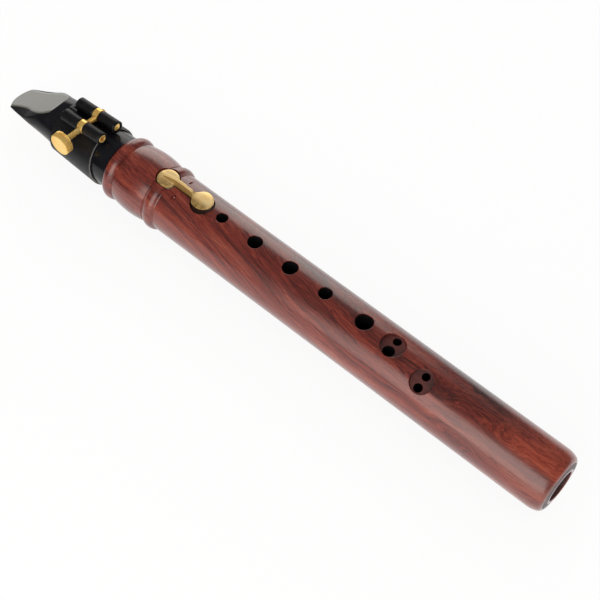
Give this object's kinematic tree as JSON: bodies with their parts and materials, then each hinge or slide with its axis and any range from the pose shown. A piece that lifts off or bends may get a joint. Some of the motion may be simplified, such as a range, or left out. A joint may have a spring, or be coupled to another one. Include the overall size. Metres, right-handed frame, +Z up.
{
  "type": "small clarinet",
  "caption": "Keyed folk clarinet in C: turned rosewood body with finger holes, black single-reed mouthpiece, leather ligature with brass thumb screw",
  "frame": {"origin": "under the middle of the outline, on the surface that the instrument lies on", "axes": "+X along the bore from the mouthpiece's tip to the foot, +Z up through the finger holes, +Y to the side away from the ligature screw's head"},
  "size_m": [0.3204, 0.0364, 0.037],
  "materials": {
    "oiled_rosewood": "oiled, satin gloss",
    "black_ebonite": "polished",
    "tenon_cork": "greased cork",
    "reed_cane": "planed cane",
    "black_leather": "smooth black",
    "polished_brass": "polished",
    "satin_brass": "satin",
    "pad_leather": "white kid",
    "blued_steel": "blued"
  },
  "bodies": {
    "body": {"wooden_body": "oiled_rosewood", "key_pin": "satin_brass"},
    "mouthpiece": {"mouthpiece": "black_ebonite", "tenon_cork": "tenon_cork", "reed": "reed_cane"},
    "ligature": {"ligature_band": "black_leather", "near_ligature_pin": "polished_brass", "far_ligature_pin": "polished_brass"},
    "ligature_screw": {"ligature_screw": "polished_brass"},
    "key": {"key": "satin_brass", "key_pad": "pad_leather", "key_spring": "blued_steel", "spring_rivet": "satin_brass"}
  },
  "joints": [
    {"name": "mouthpiece_pull", "type": "slide", "parent": "body", "child": "mouthpiece", "axis": [-1, 0, 0], "range_m": [0, 0.025]},
    {"name": "ligature_slide", "type": "slide", "parent": "mouthpiece", "child": "ligature", "axis": [-1, 0, 0], "range_m": [0, 0.07]},
    {"name": "ligature_screw_turn", "type": "hinge", "parent": "ligature", "child": "ligature_screw", "pos_m": [-0.10727, 0.0021, 0.03157], "axis": [0, -1, 0], "range_deg": [0, 720]},
    {"name": "key_hinge", "type": "hinge", "parent": "body", "child": "key", "pos_m": [-0.04938, 0.0021, 0.0293], "axis": [0, 1, 0], "range_deg": [0, 8], "stiffness_Nm_per_rad": 0.04, "springref_deg": -8.59, "deforming": ["key_spring"]}
  ]
}
